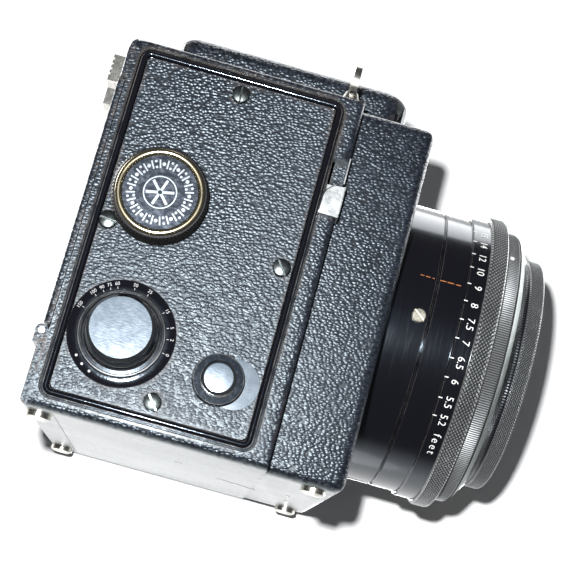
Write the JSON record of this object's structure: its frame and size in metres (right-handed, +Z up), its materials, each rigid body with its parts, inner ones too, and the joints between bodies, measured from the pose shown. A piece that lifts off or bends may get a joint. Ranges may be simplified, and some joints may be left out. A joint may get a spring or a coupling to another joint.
{
  "type": "reflex plate camera",
  "caption": "Box-shaped leather-covered reflex plate camera with a large fast lens, side control panel, folding hood and hinged rear cover.",
  "frame": {"origin": "on the surface that the four feet stand on, midway between the feet", "axes": "+Z up, lens along -Y, control panel on the -X side"},
  "size_m": [0.108, 0.1108, 0.0976],
  "materials": {
    "case_leather": "pebbled black leather",
    "black_enamel": "gloss black enamel",
    "nickel": "worn nickel plate",
    "satin_silver": "satin silvered",
    "blackened_brass": "blackened brass, knurled",
    "steel": "turned steel",
    "brass": "plain brass",
    "aluminium": "matt",
    "engraved_plate": "blued and engraved",
    "curtain_cloth": "rubberised cloth",
    "hood_leather": "thin soft leather",
    "lens_glass": "polished",
    "screen_glass": "ground",
    "mirror_silver": "silvered"
  },
  "bodies": {
    "case": {"rear_case": "case_leather", "mirror_box_case": "case_leather", "base_feet": "nickel", "control_bulkhead": "aluminium", "left_bulkhead": "aluminium", "side_panel": "black_enamel", "panel_leather": "case_leather", "panel_screws": "nickel", "speed_scale_disc": "black_enamel", "release_collar": "black_enamel", "release_spring": "steel", "shutter_curtain": "curtain_cloth", "shutter_gate": "black_enamel", "hood_base": "black_enamel", "hood_hinge_pin": "steel", "folded_hood_leather": "hood_leather", "focusing_screen": "screen_glass", "rear_frame": "case_leather", "cover_hinge_pin": "steel", "lens_flange": "black_enamel", "flange_screws": "nickel", "index_ring": "black_enamel", "strap_lug_right": "nickel", "strap_lug_left": "nickel", "tripod_bush": "brass"},
    "winding": {"winding_knob": "blackened_brass", "knob_bead_ring": "nickel", "knob_plate": "engraved_plate", "winding_shaft": "steel", "winding_gear": "brass"},
    "idler": {"idler_gear": "brass"},
    "upper_drum": {"upper_roller": "aluminium", "roller_gear": "brass"},
    "lower_drum": {"lower_roller": "aluminium"},
    "speed": {"speed_cap": "satin_silver", "speed_shaft": "steel"},
    "button": {"release_button": "satin_silver"},
    "lock": {"lock_crescent": "satin_silver"},
    "mirror": {"mirror_frame": "black_enamel", "mirror_glass": "mirror_silver", "mirror_shaft": "steel"},
    "lever": {"mirror_lever": "nickel"},
    "lid": {"hood_lid": "case_leather"},
    "cover": {"rear_cover": "case_leather", "latch_keeper": "nickel"},
    "latch": {"latch_slider": "nickel"},
    "barrel": {"lens_barrel": "black_enamel", "front_rim": "blackened_brass", "front_element": "lens_glass", "rear_element": "lens_glass"},
    "focus": {"distance_ring": "black_enamel", "focusing_grip_ring": "blackened_brass"},
    "stop": {"aperture_ring": "blackened_brass"},
    "blade_1": {"iris_blade_1": "steel"},
    "blade_2": {"iris_blade_2": "steel"},
    "blade_3": {"iris_blade_3": "steel"},
    "blade_4": {"iris_blade_4": "steel"},
    "blade_5": {"iris_blade_5": "steel"},
    "blade_6": {"iris_blade_6": "steel"},
    "blade_7": {"iris_blade_7": "steel"}
  },
  "joints": [
    {"name": "winding_turn", "type": "hinge", "parent": "case", "child": "winding", "pos_m": [-0.05, 0.018, 0.0517], "axis": [1, 0, 0], "continuous": true},
    {"name": "idler_turn", "type": "hinge", "parent": "case", "child": "idler", "pos_m": [-0.041, 0.018, 0.0647], "axis": [1, 0, 0], "continuous": true},
    {"name": "upper_drum_turn", "type": "hinge", "parent": "case", "child": "upper_drum", "pos_m": [0, 0.018, 0.0767], "axis": [1, 0, 0], "continuous": true},
    {"name": "lower_drum_turn", "type": "hinge", "parent": "case", "child": "lower_drum", "pos_m": [0, 0.018, 0.0125], "axis": [1, 0, 0], "continuous": true},
    {"name": "speed_turn", "type": "hinge", "parent": "case", "child": "speed", "pos_m": [-0.05, 0.0178, 0.0213], "axis": [1, 0, 0], "range_deg": [-210, 0]},
    {"name": "release_press", "type": "slide", "parent": "case", "child": "button", "axis": [1, 0, 0], "range_m": [0, 0.0023], "stiffness_N_per_m": 300, "deforming": ["release_spring"]},
    {"name": "lock_turn", "type": "hinge", "parent": "case", "child": "lock", "pos_m": [-0.05, -0.0046, 0.0172], "axis": [1, 0, 0], "range_deg": [0, 60]},
    {"name": "mirror_lever_slide", "type": "slide", "parent": "case", "child": "lever", "axis": [0, 0, 1], "range_m": [0, 0.006]},
    {"name": "mirror_swing", "type": "hinge", "parent": "case", "child": "mirror", "pos_m": [0, 0.018, 0.07], "axis": [1, 0, 0], "range_deg": [-45, 0]},
    {"name": "hood_lid_swing", "type": "hinge", "parent": "case", "child": "lid", "pos_m": [0, -0.0322, 0.0882], "axis": [1, 0, 0], "range_deg": [0, 100]},
    {"name": "rear_cover_swing", "type": "hinge", "parent": "case", "child": "cover", "pos_m": [0, 0.0343, 0.0177], "axis": [-1, 0, 0], "range_deg": [0, 110]},
    {"name": "latch_slide", "type": "slide", "parent": "case", "child": "latch", "axis": [0, 0, 1], "range_m": [0, 0.0025]},
    {"name": "barrel_slide", "type": "slide", "parent": "case", "child": "barrel", "axis": [0, -1, 0], "range_m": [-0.0038, 0.0029]},
    {"name": "focus_turn", "type": "hinge", "parent": "barrel", "child": "focus", "pos_m": [0, -0.0578, 0.0446], "axis": [0, 1, 0], "range_deg": [-66, 50.4]},
    {"name": "aperture_turn", "type": "hinge", "parent": "barrel", "child": "stop", "pos_m": [0, -0.064, 0.0446], "axis": [0, 1, 0], "range_deg": [0, 60]},
    {"name": "blade_1_swing", "type": "hinge", "parent": "barrel", "child": "blade_1", "pos_m": [0.0275, -0.04955, 0.0446], "axis": [0, -1, 0], "range_deg": [0, 30]},
    {"name": "blade_2_swing", "type": "hinge", "parent": "barrel", "child": "blade_2", "pos_m": [0.01715, -0.05065, 0.0661], "axis": [0, -1, 0], "range_deg": [0, 30]},
    {"name": "blade_3_swing", "type": "hinge", "parent": "barrel", "child": "blade_3", "pos_m": [-0.00612, -0.05175, 0.07141], "axis": [0, -1, 0], "range_deg": [0, 30]},
    {"name": "blade_4_swing", "type": "hinge", "parent": "barrel", "child": "blade_4", "pos_m": [-0.02478, -0.05285, 0.05653], "axis": [0, -1, 0], "range_deg": [0, 30]},
    {"name": "blade_5_swing", "type": "hinge", "parent": "barrel", "child": "blade_5", "pos_m": [-0.02478, -0.05395, 0.03267], "axis": [0, -1, 0], "range_deg": [0, 30]},
    {"name": "blade_6_swing", "type": "hinge", "parent": "barrel", "child": "blade_6", "pos_m": [-0.00612, -0.05505, 0.01779], "axis": [0, -1, 0], "range_deg": [0, 30]},
    {"name": "blade_7_swing", "type": "hinge", "parent": "barrel", "child": "blade_7", "pos_m": [0.01715, -0.05615, 0.0231], "axis": [0, -1, 0], "range_deg": [0, 30]}
  ],
  "couplings": [
    {"joint": "idler_turn", "follows": "winding_turn", "ratio": -0.85714},
    {"joint": "upper_drum_turn", "follows": "winding_turn", "ratio": 1.2},
    {"joint": "lower_drum_turn", "follows": "winding_turn", "ratio": 1.2},
    {"joint": "mirror_swing", "follows": "mirror_lever_slide", "rad_per_m": -130.9},
    {"joint": "barrel_slide", "follows": "focus_turn", "m_per_rad": 0.0032968},
    {"joint": "blade_1_swing", "follows": "aperture_turn", "ratio": 0.5},
    {"joint": "blade_2_swing", "follows": "aperture_turn", "ratio": 0.5},
    {"joint": "blade_3_swing", "follows": "aperture_turn", "ratio": 0.5},
    {"joint": "blade_4_swing", "follows": "aperture_turn", "ratio": 0.5},
    {"joint": "blade_5_swing", "follows": "aperture_turn", "ratio": 0.5},
    {"joint": "blade_6_swing", "follows": "aperture_turn", "ratio": 0.5},
    {"joint": "blade_7_swing", "follows": "aperture_turn", "ratio": 0.5}
  ]
}
